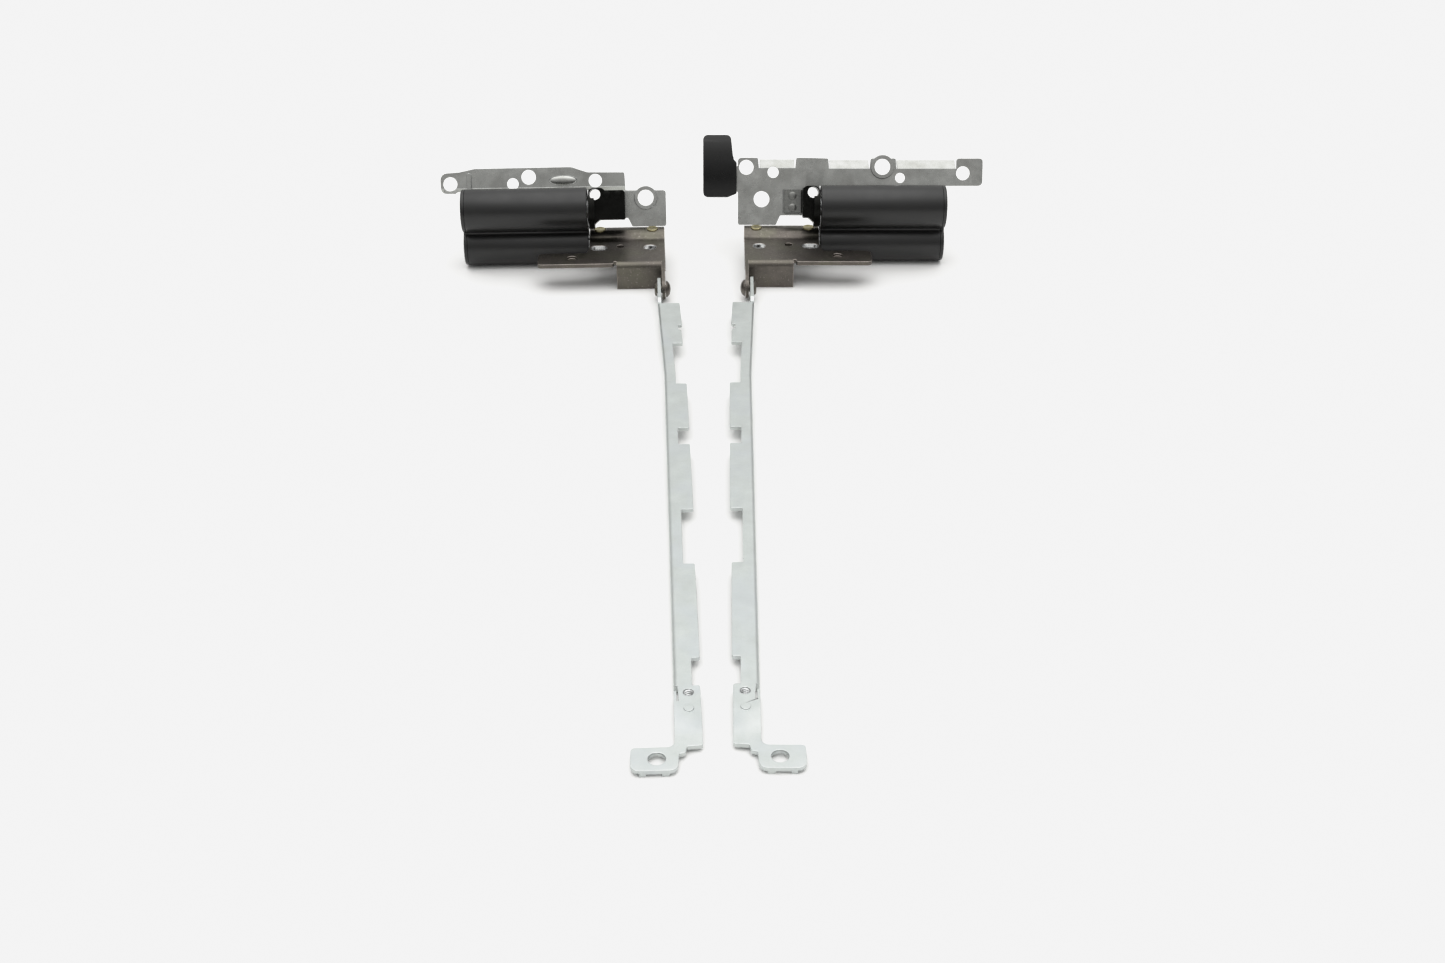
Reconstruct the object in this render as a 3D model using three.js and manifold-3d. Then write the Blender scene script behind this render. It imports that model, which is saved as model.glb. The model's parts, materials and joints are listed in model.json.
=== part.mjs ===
// Left and right display hinges of a folding notebook computer, lying opened on a table.
// Each hinge has three moving bodies: the display arm with its shaft, the two-shaft barrel,
// and the base bracket with its shaft. Millimetres, +Z up, the arms point along -Y.
//
// Every hinge piece is drawn in one hand, with +X pointing out along the shafts, -Y down the
// arm and the display shaft axis as origin. The other hand is its mirror image.
import * as THREE from 'three';
import { mergeVertices } from 'three/addons/utils/BufferGeometryUtils.js';
import Module from 'manifold-3d';

const wasm = await Module();
wasm.setup();

// Barrel and shafts
const AXIS_SPACING = 9.3;
const LOWER_LOBE_RADIUS = 4.55;
const UPPER_LOBE_RADIUS = 5.05;
const LOBE_FILLET = 0.4;
const COVER_START = 17.1;
const COVER_END = 46.7;
const COVER_WALL = 0.75;
const END_CAP_LENGTH = 0.9;
const SHAFT_RADIUS = 2.1;
const THREAD_RADIUS = 1.6;
const SHAFT_SHOULDER = 34.7;
const SHAFT_TIP = 44.1;
const CAM_RADIUS = 2.7;
const CAM_TAB_RADIUS = 3.45;
const FIT_GAP = 0.3;

// Display arm and its bracket
const ARM_SHEET = 0.8;
const ARM_TOP = -0.4;
const ARM_STRIP_WIDTH = 2.35;
const ARM_TAB_WIDTH = 4.6;
const ARM_NECK_WIDTH = 3.0;
const FOOT_WIDTH = 4.25;
const HEAD_OFFSET = 1;
const LEAN_SPAN = [-64, -32];
const ARM_WALL_BOTTOM = -2.25;
const ARM_WALL_START = -19.2;
const ARM_STRIP_START = -31.5;
const ARM_WALL_END = -164.5;
const FOOT_FRONT = -183.3;
const FOOT_BACK = -178.2;
const FOOT_REACH = 6.7;
const FOOT_DROP = 0.4;
const FOOT_LIP = 0.5;
const BRACKET_SHEET = 1.0;
const BRACKET_TOP = 2.1;
const BRACKET_START = -1;
const BRACKET_END = 16.8;
const CURL_RADIUS = 3.8;
const FLANGE_FRONT = -16.0;
const FLANGE_BOTTOM = -4.4;
const FLANGE_WIDTH = 10.4;
const WING_REACH = 28.7;
const WING_FRONT = -15.8;
const WING_BACK = -9.8;
const EAR_RIVET = { y: -22, z: -1.6 };
const EAR_SHEET = 0.75;
const EAR_FACE = HEAD_OFFSET - ARM_SHEET - FIT_GAP - EAR_SHEET;
const SHAFT_RIVETS = [1.9, 14.4];
const RIVET_RECESS = 0.42;

// Base bracket: the plate behind the knuckle, and the strip stepped back behind the barrel
const BASE_SHEET = 0.8;
const PLATE_FRONT = 2.9;
const PLATE_BOTTOM = -3.75;
const PLATE_FRONT_BOTTOM = -4.25;
const STRIP_FRONT = 5.5;
const KNUCKLE_END = 16.8;
const KNUCKLE_BORE = 1.95;

// Pose at rest, and where each hinge lies
const SHAFT_HEIGHT = 4.7;
const BARREL_LEAN = 4;
const BASE_LEAN = 25;
const ARM_PITCH = 0.81;
const LEFT_PLACE = { x: -14.9, y: 0.8, yaw: 2.5 };
const RIGHT_PLACE = { x: 6.2, y: 1.5, yaw: -0.1 };

const FINISHES = {
  zinc: { color: 0xc9cfcd, roughness: 0.42, metalness: 0.9 },
  nickel: { color: 0x8f918c, roughness: 0.35, metalness: 0.95 },
  bronze: { color: 0x5c5650, roughness: 0.45, metalness: 0.8 },
  blackOxide: { color: 0x24231f, roughness: 0.5, metalness: 0.6 },
  steel: { color: 0xa7a9a8, roughness: 0.3, metalness: 1 },
  springSteel: { color: 0x6f7274, roughness: 0.35, metalness: 1 },
  brass: { color: 0x9a8a55, roughness: 0.35, metalness: 0.9 },
  plastic: { color: 0x1d1e1d, roughness: 0.45, metalness: 0 },
  rubber: { color: 0x191918, roughness: 0.85, metalness: 0 },
};

// ---- solids ----

function toSolid(geometry) {
  const bare = geometry.clone();
  bare.deleteAttribute('normal');
  bare.deleteAttribute('uv');
  const merged = mergeVertices(bare, 1e-4);
  const mesh = new wasm.Mesh({
    numProp: 3,
    vertProperties: new Float32Array(merged.attributes.position.array),
    triVerts: new Uint32Array(merged.index.array),
  });
  return new wasm.Manifold(mesh);
}

function toGeometry(solid) {
  const mesh = solid.getMesh();
  const geometry = new THREE.BufferGeometry();
  geometry.setAttribute('position', new THREE.BufferAttribute(mesh.vertProperties, 3));
  geometry.setIndex(new THREE.BufferAttribute(mesh.triVerts, 1));
  return geometry;
}

function join(...geometries) {
  return toGeometry(geometries.map(toSolid).reduce((sum, next) => sum.add(next)));
}

function cut(geometry, ...tools) {
  return toGeometry(tools.map(toSolid).reduce((rest, tool) => rest.subtract(tool), toSolid(geometry)));
}

function common(first, second) {
  return toGeometry(toSolid(first).intersect(toSolid(second)));
}

function box([x0, x1], [y0, y1], [z0, z1]) {
  const geometry = new THREE.BoxGeometry(x1 - x0, y1 - y0, z1 - z0);
  return geometry.translate((x0 + x1) / 2, (y0 + y1) / 2, (z0 + z1) / 2);
}

// ---- outlines ----

function arc(cx, cy, radius, fromDegrees, toDegrees, steps) {
  return Array.from({ length: steps + 1 }, (_, i) => {
    const angle = THREE.MathUtils.degToRad(fromDegrees + ((toDegrees - fromDegrees) * i) / steps);
    return [cx + radius * Math.cos(angle), cy + radius * Math.sin(angle)];
  });
}

function circle(cx, cy, radius, steps = 20) {
  return arc(cx, cy, radius, 0, 360, steps).slice(0, -1);
}

// Corners are [x, y, radius]; each corner with a radius becomes an arc tangent to its edges.
function rounded(corners, steps = 4) {
  const count = corners.length;
  return corners.flatMap(([x, y, radius = 0], i) => {
    if (radius === 0) {
      return [[x, y]];
    }
    const corner = new THREE.Vector2(x, y);
    const [px, py] = corners[(i + count - 1) % count];
    const [nx, ny] = corners[(i + 1) % count];
    const back = new THREE.Vector2(px, py).sub(corner).normalize();
    const ahead = new THREE.Vector2(nx, ny).sub(corner).normalize();
    const half = Math.acos(back.dot(ahead)) / 2;
    const bisector = back.clone().add(ahead).normalize();
    const centre = corner.clone().addScaledVector(bisector, radius / Math.sin(half));
    const start = corner.clone().addScaledVector(back, radius / Math.tan(half)).sub(centre);
    const sweep = (Math.PI - 2 * half) * Math.sign(back.cross(ahead)) * -1;
    return Array.from({ length: steps + 1 }, (_, k) => {
      const point = start.clone().rotateAround(new THREE.Vector2(), (sweep * k) / steps).add(centre);
      return [point.x, point.y];
    });
  });
}

function obround(cx, cy, length, width, steps = 8) {
  const radius = width / 2;
  const reach = (length - width) / 2;
  return [...arc(cx + reach, cy, radius, -90, 90, steps), ...arc(cx - reach, cy, radius, 90, 270, steps)];
}

function extruded(points, depth, holes) {
  const shape = new THREE.Shape(points.map(([x, y]) => new THREE.Vector2(x, y)));
  shape.holes = holes.map((hole) => new THREE.Path(hole.map(([x, y]) => new THREE.Vector2(x, y))));
  return new THREE.ExtrudeGeometry(shape, { depth, bevelEnabled: false });
}

// An outline in X and Y, thick from z0 to z1
function slabZ(points, [z0, z1], holes = []) {
  return extruded(points, z1 - z0, holes).translate(0, 0, z0);
}

// An outline in Y and Z, thick from x0 to x1
function slabX(points, [x0, x1], holes = []) {
  const cyclic = new THREE.Matrix4().set(0, 0, 1, x0, 1, 0, 0, 0, 0, 1, 0, 0, 0, 0, 0, 1);
  return extruded(points, x1 - x0, holes).applyMatrix4(cyclic);
}

// An outline in X and Z, thick from y0 to y1
function slabY(points, [y0, y1], holes = []) {
  return extruded(points, y1 - y0, holes).rotateX(Math.PI / 2).translate(0, y1, 0);
}

// A turned piece about the X axis; the profile is [radius, x] from axis to axis
function turned(profile, steps = 16) {
  const points = profile.map(([radius, x]) => new THREE.Vector2(radius, -x));
  const geometry = new THREE.LatheGeometry(points.reverse(), steps);
  return geometry.rotateZ(Math.PI / 2);
}

function rodX(radius, [x0, x1], steps = 16) {
  return turned([[0, x0], [radius, x0], [radius, x1], [0, x1]], steps);
}

// ---- barrel ----

// Two round lobes joined by hollow fillets, with every radius changed by grow
function lobeOutline(grow, steps = 9) {
  const lower = LOWER_LOBE_RADIUS + grow;
  const upper = UPPER_LOBE_RADIUS + grow;
  const fillet = LOBE_FILLET - grow;
  const toLower = lower + fillet;
  const toUpper = upper + fillet;
  const height = (toLower ** 2 - toUpper ** 2 + AXIS_SPACING ** 2) / (2 * AXIS_SPACING);
  const width = Math.sqrt(toLower ** 2 - height ** 2);
  const low = THREE.MathUtils.radToDeg(Math.atan2(height, width));
  const high = THREE.MathUtils.radToDeg(Math.atan2(AXIS_SPACING - height, width));
  return [
    ...arc(0, 0, lower, 180 - low - 360, low, 2 * steps),
    ...arc(width, height, fillet, 180 + low, 180 - high, 4).slice(1, -1),
    ...arc(0, AXIS_SPACING, upper, -high, 180 + high, 2 * steps),
    ...arc(-width, height, fillet, high, -low, 4).slice(1, -1),
  ];
}

function axisHoles(radius) {
  return [circle(0, 0, radius, 14), circle(0, AXIS_SPACING, radius, 14)];
}

function makeCover() {
  const inner = lobeOutline(-COVER_WALL);
  return slabX(lobeOutline(0), [COVER_START, COVER_END - END_CAP_LENGTH], [inner]);
}

function makeEndCap() {
  const rim = slabX(lobeOutline(-0.1), [COVER_END - END_CAP_LENGTH + 0.05, COVER_END]);
  const spigot = slabX(lobeOutline(-COVER_WALL - FIT_GAP, 6), [COVER_END - 1.9, COVER_END - 0.6]);
  return join(rim, spigot);
}

// The end plate that closes the mouth of the cover and carries the stop lug
function makeInnerLinkPlate() {
  const plate = slabX(lobeOutline(-COVER_WALL - FIT_GAP, 6), [COVER_START + 0.2, 18.7],
    axisHoles(SHAFT_RADIUS + 0.15));
  const lug = box([18.6, 20.1], [-0.85, 0.85], [AXIS_SPACING / 2 - 1.55, AXIS_SPACING / 2 + 1.55]);
  return join(plate, lug);
}

function makeOuterLinkPlate() {
  return slabX(lobeOutline(-COVER_WALL - FIT_GAP, 6), [20.4, 21.9], axisHoles(SHAFT_RADIUS + 0.15));
}

// A sprung clip pack that grips both shafts, slit so that it can close on them
function makeFrictionClip() {
  const pack = slabX(lobeOutline(-COVER_WALL - 2 * FIT_GAP, 6), [22.3, SHAFT_SHOULDER - 0.5],
    axisHoles(SHAFT_RADIUS + 0.15));
  const lowerSlit = box([22, SHAFT_SHOULDER], [-0.3, 0.3], [-8, -1]);
  const upperSlit = box([22, SHAFT_SHOULDER], [-0.3, 0.3], [AXIS_SPACING + 1, AXIS_SPACING + 8]);
  return cut(pack, lowerSlit, upperSlit);
}

// ---- shafts and the pieces threaded on them, each about its own axis ----

// The tail end is the stretch that the bracket or knuckle holds; the tip carries the nut.
function makeShaft(tailRadius, tailStart, tailEnd) {
  const profile = [
    [0, tailStart], [tailRadius - 0.25, tailStart], [tailRadius, tailStart + 0.25], [tailRadius, tailEnd],
    [SHAFT_RADIUS, tailEnd], [SHAFT_RADIUS, SHAFT_SHOULDER], [THREAD_RADIUS, SHAFT_SHOULDER],
    [THREAD_RADIUS, SHAFT_TIP - 0.3], [THREAD_RADIUS - 0.3, SHAFT_TIP], [0, SHAFT_TIP],
  ];
  return turned(profile);
}

// A disc with a wide tab that meets the stop lug at both ends of the travel
function makeStopCam(tabFrom, tabTo) {
  const outline = [
    ...arc(0, 0, CAM_TAB_RADIUS, tabFrom, tabTo, 7),
    ...arc(0, 0, CAM_RADIUS, tabTo, tabFrom + 360, 9),
  ];
  return slabX(outline, [18.95, 20.05], [circle(0, 0, SHAFT_RADIUS + 0.1, 12)]);
}

function makeThrustWasher() {
  const start = SHAFT_SHOULDER + 0.15;
  return slabX(circle(0, 0, 3.4, 16), [start, start + 0.8], [circle(0, 0, THREAD_RADIUS + 0.15, 12)]);
}

// Four disc springs pressed together, back to back and face to face
function makeDiscSprings() {
  const bore = THREAD_RADIUS + 0.2;
  const rim = 3.3;
  const sheet = 0.45;
  const dish = 0.55;
  const start = SHAFT_SHOULDER + 1.15;
  const pitch = dish + sheet;
  const turns = [0, 1, 2, 3];
  const front = turns.flatMap((i) => {
    const x = start + i * pitch;
    return i % 2 === 0 ? [[bore, x], [rim, x + dish]] : [[rim, x], [bore, x + dish]];
  });
  const inner = front.filter(([radius]) => radius === bore);
  const outer = front.filter(([radius]) => radius === rim);
  const outside = [
    inner[0], outer[0], [rim, outer[1][1] + sheet * 0.4], [bore + 0.5, start + 2 * pitch],
    outer[2], [rim, outer[3][1] + sheet * 0.4], [bore + 0.5, start + 4 * pitch],
  ];
  return turned([...outside, [bore, start + 4 * pitch], [bore, start]], 14);
}

function makeLockNut() {
  const start = SHAFT_SHOULDER + 5.5;
  const bore = circle(0, 0, THREAD_RADIUS + 0.12, 12);
  const hex = slabX(circle(0, 0, 3.3, 6), [start, start + 2.3], [bore]);
  const collar = slabX(circle(0, 0, 2.6, 12), [start + 2.2, start + 3], [bore]);
  return join(hex, collar);
}

// ---- display side ----

// Sheet folded over the shaft, level out to the front bend, and down as a short flange
function makeDisplayBracket() {
  const inside = CURL_RADIUS - BRACKET_SHEET;
  const under = BRACKET_TOP - BRACKET_SHEET;
  const frontAngle = 180 - THREE.MathUtils.radToDeg(Math.asin(BRACKET_TOP / CURL_RADIUS));
  const underAngle = 180 - THREE.MathUtils.radToDeg(Math.asin(under / inside));
  const bendY = FLANGE_FRONT + 1.4;
  const top = [
    ...arc(0, 0, CURL_RADIUS, -28, frontAngle, 12), [bendY, BRACKET_TOP], [bendY, under],
    ...arc(0, 0, inside, underAngle, -28, 10),
  ];
  const deck = slabX(top, [BRACKET_START, BRACKET_END]);
  const fold = [
    [bendY + 0.5, BRACKET_TOP], ...arc(bendY, BRACKET_TOP - 1.4, 1.4, 90, 180, 5),
    [FLANGE_FRONT, FLANGE_BOTTOM], [FLANGE_FRONT + BRACKET_SHEET, FLANGE_BOTTOM],
    ...arc(bendY, BRACKET_TOP - 1.4, 0.4, 180, 90, 4), [bendY + 0.5, under],
  ];
  const relief = box([-2, -0.2], [FLANGE_FRONT - 1, bendY + 2], [FLANGE_BOTTOM - 1, 0]);
  const flange = cut(slabX(fold, [BRACKET_START, FLANGE_WIDTH]), relief);
  const wing = slabZ(rounded([
    [FLANGE_WIDTH + 0.6, WING_FRONT, 0.5], [WING_REACH, WING_FRONT, 1.1],
    [WING_REACH, WING_BACK, 1.1], [BRACKET_END + 0.6, WING_BACK, 0.8], [BRACKET_END, -6],
    [FLANGE_WIDTH - 1, -6], [FLANGE_WIDTH + 0.6, -12],
  ]), [under, BRACKET_TOP]);
  const ear = slabX([
    [-9.5, BRACKET_TOP], [-15.5, BRACKET_TOP], ...arc(EAR_RIVET.y, EAR_RIVET.z, 2.4, 80, 280, 12),
    [-15, -2.6], [-9.5, under],
  ], [EAR_FACE, EAR_FACE + EAR_SHEET]);
  const holes = [
    slabZ(obround(2.5, -7.1, 3.1, 2.8), [0, 4]),
    slabZ(obround(14.6, -7.1, 4.0, 2.8), [0, 4]),
    slabZ(circle(20.8, -12.5, 1.15), [BRACKET_TOP - 0.6, 4]),
    slabZ(circle(9.5, -6.4, 0.9), [0, 4]),
    slabX(circle(EAR_RIVET.y, EAR_RIVET.z, 1.1), [-3, 1]),
    ...SHAFT_RIVETS.map((x) => slabZ(circle(x, 0, 0.9, 12), [0, 5])),
    ...SHAFT_RIVETS.map((x) => slabZ(circle(x, 0, 1.5, 18), [CURL_RADIUS - RIVET_RECESS, 5])),
  ];
  return cut(join(deck, flange, wing, ear), ...holes);
}

// The strip's inner edge, a run of tabs [start, end, width] along the arm
const ARM_STEPS = [
  [31.5, 42.2, 4.9], [42.2, 44.4, 4.0], [44.4, 50.7, ARM_TAB_WIDTH], [50.7, 68.3, ARM_STRIP_WIDTH],
  [68.3, 86.1, ARM_TAB_WIDTH], [86.1, 92.2, ARM_STRIP_WIDTH], [92.2, 114.9, ARM_TAB_WIDTH],
  [114.9, 131.8, ARM_STRIP_WIDTH], [131.8, 157.7, 4.4], [157.7, 164.5, ARM_NECK_WIDTH],
];

// Moves the head of the arm outward and slants the stretch that leads up to it
function leanOut(beam) {
  const [from, to] = LEAN_SPAN;
  const rate = HEAD_OFFSET / (to - from);
  const part = (y0, y1) => common(beam, box([-9, 9], [y0, y1], [-9, 9]));
  const shear = new THREE.Matrix4().makeShear(0, 0, rate, 0, 0, 0).setPosition(-rate * from, 0, 0);
  const slanted = part(from, to).applyMatrix4(shear);
  return join(part(-200, from), slanted, part(to, 0).translate(HEAD_OFFSET, 0, 0));
}

// A long strip with a wall folded down along its outer edge, ending in a stepped foot
function makeDisplayArm() {
  const under = ARM_TOP - ARM_SHEET;
  const innerEdge = ARM_STEPS.flatMap(([start, end, width]) => {
    const corner = width < ARM_TAB_WIDTH - 0.5 ? 0.15 : 0.35;
    return [[-width, -start, corner], [-width, -end, corner]];
  });
  const stripEnd = -165.8;
  const strip = slabZ(rounded([
    [0, ARM_STRIP_START], ...innerEdge, [-FOOT_WIDTH, ARM_WALL_END, 0.4],
    [-FOOT_WIDTH, stripEnd - 2], [0, stripEnd - 2],
  ]), [under, ARM_TOP]);
  const wall = slabX(rounded([
    [ARM_WALL_START, 0.2, 0.8], [ARM_WALL_START, -3.9, 0.8], [-29, -3.9, 0.5], [-31, ARM_WALL_BOTTOM, 0.5],
    [ARM_WALL_END, ARM_WALL_BOTTOM, 0.6], [ARM_WALL_END, ARM_TOP], [-31, ARM_TOP, 0.4], [-30, 0.2, 0.4],
  ]), [-ARM_SHEET, 0]);
  const rolledEdge = slabY(rounded([
    [-9, -9], [0, -9], [0, ARM_TOP, 0.7], [-ARM_SHEET - 0.4, ARM_TOP], [-ARM_SHEET - 0.4, 2], [-9, 2],
  ]), [stripEnd - 1, ARM_STRIP_START]);
  const head = box([-9, 1], [ARM_STRIP_START, -10], [-9, 9]);
  const tail = box([-9, 1], [-170, stripEnd - 1], [-9, 9]);
  const beam = leanOut(common(join(strip, wall), join(rolledEdge, head, tail)));

  const level = [
    [stripEnd, ARM_TOP], [-174.0, ARM_TOP], [-175.1, ARM_TOP - FOOT_DROP],
    [FOOT_FRONT - 1, ARM_TOP - FOOT_DROP], [FOOT_FRONT - 1, under - FOOT_DROP],
    [-175.25, under - FOOT_DROP], [-174.15, under], [stripEnd, under],
  ];
  const plan = rounded([
    [-FOOT_WIDTH, stripEnd], [-FOOT_WIDTH, -178.0, 0.4], [-1.8, -178.2, 0.3],
    [-1.6, -179.5, 0.3], [-0.6, -179.8, 0.2], [-0.35, FOOT_FRONT, 1.3],
    [FOOT_REACH, FOOT_FRONT, 1.4], [FOOT_REACH, FOOT_BACK, 0.7], [0, FOOT_BACK, 1.2], [0, stripEnd],
  ]);
  const foot = common(slabX(level, [-6, 8]), slabZ(plan, [-6, 4]));
  const lipTop = under - FOOT_DROP + 0.1;
  const lips = [[0.9, 2.0], [4.4, 5.4]].map((span) => (
    box(span, [FOOT_FRONT, FOOT_FRONT + 0.45], [lipTop - 0.1 - FOOT_LIP, lipTop])
  ));
  const collar = slabZ(circle(-2.35, -166.2, 1.25), [under - 0.6, under + 0.1]);
  const dimple = slabZ(circle(-2.3, -170.1, 0.8, 18), [ARM_TOP - 0.1, ARM_TOP + 0.22]);
  const holes = [
    box([-0.7, 1], [-165.8, ARM_WALL_END], [-6, 2]),
    box([-0.75, -0.5], [-168.2, -165.7], [-6, 2]),
    slabZ(circle(-2.35, -166.2, 0.85), [-6, 2]),
    slabZ(circle(2.75, -180.75, 1.35, 28), [-6, 2]),
    slabX(circle(EAR_RIVET.y, EAR_RIVET.z, 1.1), [-2, 3]),
  ];
  return cut(join(beam, foot, ...lips, collar, dimple), ...holes);
}

function makeArmRivet() {
  const inner = EAR_FACE - 0.08;
  const outer = HEAD_OFFSET + 0.1;
  const domeSteps = arc(0, 0, 1, 180, 90, 6).map(([u, v]) => [1.9 * v, inner + 1.1 * u]);
  const profile = [
    ...domeSteps, [0.9, inner], [0.9, outer], [1.6, outer], [1.4, outer + 0.45], [0, outer + 0.55],
  ];
  return turned(profile).translate(0, EAR_RIVET.y, EAR_RIVET.z);
}

// A pin through the curled sheet and the shaft, its upper head let in flush
function makeShaftRivet(x) {
  const under = CURL_RADIUS - RIVET_RECESS + 0.07;
  const points = [
    [0, -2.75], [1.0, -2.7], [1.1, -2.45], [0.7, -2.4], [0.7, under], [1.3, under],
    [1.3, CURL_RADIUS], [1.15, CURL_RADIUS + 0.05], [0, CURL_RADIUS + 0.05],
  ].map(([radius, z]) => new THREE.Vector2(radius, z));
  return new THREE.LatheGeometry(points, 14).rotateX(Math.PI / 2).translate(x, 0, 0);
}

function makeDisplayShaft() {
  const cross = SHAFT_RIVETS.map((x) => slabZ(circle(x, 0, 0.85, 12), [-4, 4]));
  return cut(makeShaft(2.25, -0.7, COVER_START - 0.2), ...cross);
}

// ---- base side, with Z up along the plate and Y straight back ----

// The block that holds the tail of the base shaft in front of the bracket plate
function makeKnuckle(start, step, rivets) {
  const outline = rounded([
    [start, -2.65, 0.4], [14.2, -2.65], [15.6, -3.8, 0.3], [KNUCKLE_END, -3.8, 0.4],
    [KNUCKLE_END, 4.8, 1.3], [13.6, 4.8, 1.3], [12.9, 4.2], [start, 4.2, 0.6],
  ]);
  const block = slabY(outline, [-2.7, PLATE_FRONT - FIT_GAP]);
  const frontHalf = box([15, 17], [-6, PLATE_FRONT - FIT_GAP], [-6, 6]);
  const collar = common(rodX(4.7, [15.4, KNUCKLE_END], 28), frontHalf);
  const parts = [block, collar];
  if (step) {
    parts.push(box([step, start + 1], [1.4, PLATE_FRONT - FIT_GAP], [-1.4, 3.9]));
  }
  const holes = [
    rodX(KNUCKLE_BORE, [start + 0.6, KNUCKLE_END + 1]),
    slabY(circle(15.25, 3.3, 1.3), [-4, 4]),
    ...rivets.map(([x, z]) => slabY(circle(x, z, 0.75, 12), [-4, 4])),
  ];
  return cut(join(...parts), ...holes);
}

function makeBaseRivet([x, z], front) {
  const back = PLATE_FRONT + BASE_SHEET;
  const points = [
    [0, front - 0.3], [0.9, front - 0.2], [0.95, front - 0.06], [0.6, front - 0.06], [0.6, back + 0.08],
    [1.2, back + 0.08], [1.1, back + 0.4], [0, back + 0.5],
  ].map(([radius, y]) => new THREE.Vector2(radius, y));
  return new THREE.LatheGeometry(points, 12).translate(x, 0, z);
}

// Screw holes are [x, z, radius] with an optional outer radius for a pressed ring.
const LEFT_BASE = {
  knuckleStart: 8.2,
  rivets: [[9.9, 3.15], [12.4, 3.15]],
  rivetFront: -2.7,
  holes: [[49.9, 6.5, 1.7], [35.0, 6.35, 1.4], [31.2, 7.9, 1.75], [15.3, 6.85, 1.6], [3.3, 2.5, 1.9, 2.75]],
};
const RIGHT_BASE = {
  knuckleStart: 12.8,
  knuckleStep: 8.6,
  rivets: [[10.5, 2.6], [10.5, -0.2]],
  rivetFront: 1.4,
  holes: [
    [-0.5, 9.35, 1.75], [5.9, 8.2, 1.35], [3.15, 1.85, 1.9], [32.2, 9.6, 1.9, 2.8], [36.5, 7.0, 1.2],
    [51.6, 8.1, 1.65],
  ],
};
const EAR_WINDOW = [15.25, 3.3, 1.55];

function ring([x, z, , outer], front) {
  return slabY(circle(x, z, outer, 28), [front - 0.45, front + BASE_SHEET]);
}

function drill(blank, holes, rivets) {
  const tools = [
    ...holes.map(([x, z, radius]) => slabY(circle(x, z, radius), [-2, 9])),
    ...rivets.map(([x, z]) => slabY(circle(x, z, 0.75, 12), [-2, 9])),
    slabY(circle(...EAR_WINDOW), [-2, 9]),
  ];
  return cut(blank, ...tools);
}

// The plate behind the knuckle rises and steps back into the strip behind the barrel. The lower
// edges of both plates slant, so that their back corners swing clear of the curled sheet.
function makeLeftBaseBracket() {
  const front = [[4.2, PLATE_FRONT], [5.4, STRIP_FRONT], [12, STRIP_FRONT]];
  const section = [
    [PLATE_FRONT_BOTTOM, PLATE_FRONT], ...front, ...front.toReversed().map(([z, y]) => [z, y + BASE_SHEET]),
    [PLATE_BOTTOM, PLATE_FRONT + BASE_SHEET],
  ].map(([z, y]) => [y, z]);
  const outline = rounded([
    [-1.5, PLATE_FRONT_BOTTOM, 0.5], [6.6, PLATE_FRONT_BOTTOM, 0.5], [7.6, -2.2, 0.3], [16.4, -2.2, 0.4],
    [16.9, 4.55, 0.3], [48.0, 4.55, 0.3], [48.5, 4.1, 0.3], [52.2, 4.1, 1.8], [52.2, 9.0, 1.6],
    [47.5, 9.3, 0.8], [44, 10.05, 2], [21, 10.15, 3], [17.2, 8.85, 2], [8.3, 8.7, 0.4], [8.1, 4.35, 0.3],
    [-1.5, 4.2, 0.6],
  ]);
  const blank = common(slabX(section, [-3, 54]), slabY(outline, [0, 9]));
  const rib = slabY(obround(0, 0, 4.0, 1.1).map(([u, v]) => [45.4 + v, 7.0 + u]), [STRIP_FRONT - 0.35, 6]);
  const dome = new THREE.SphereGeometry(1, 24, 12).scale(3.5, 0.55, 1.15);
  const emboss = dome.translate(23, STRIP_FRONT + 0.1, 7);
  const collar = ring(LEFT_BASE.holes[4], PLATE_FRONT);
  return drill(join(blank, rib, emboss, collar), LEFT_BASE.holes, LEFT_BASE.rivets);
}

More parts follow.
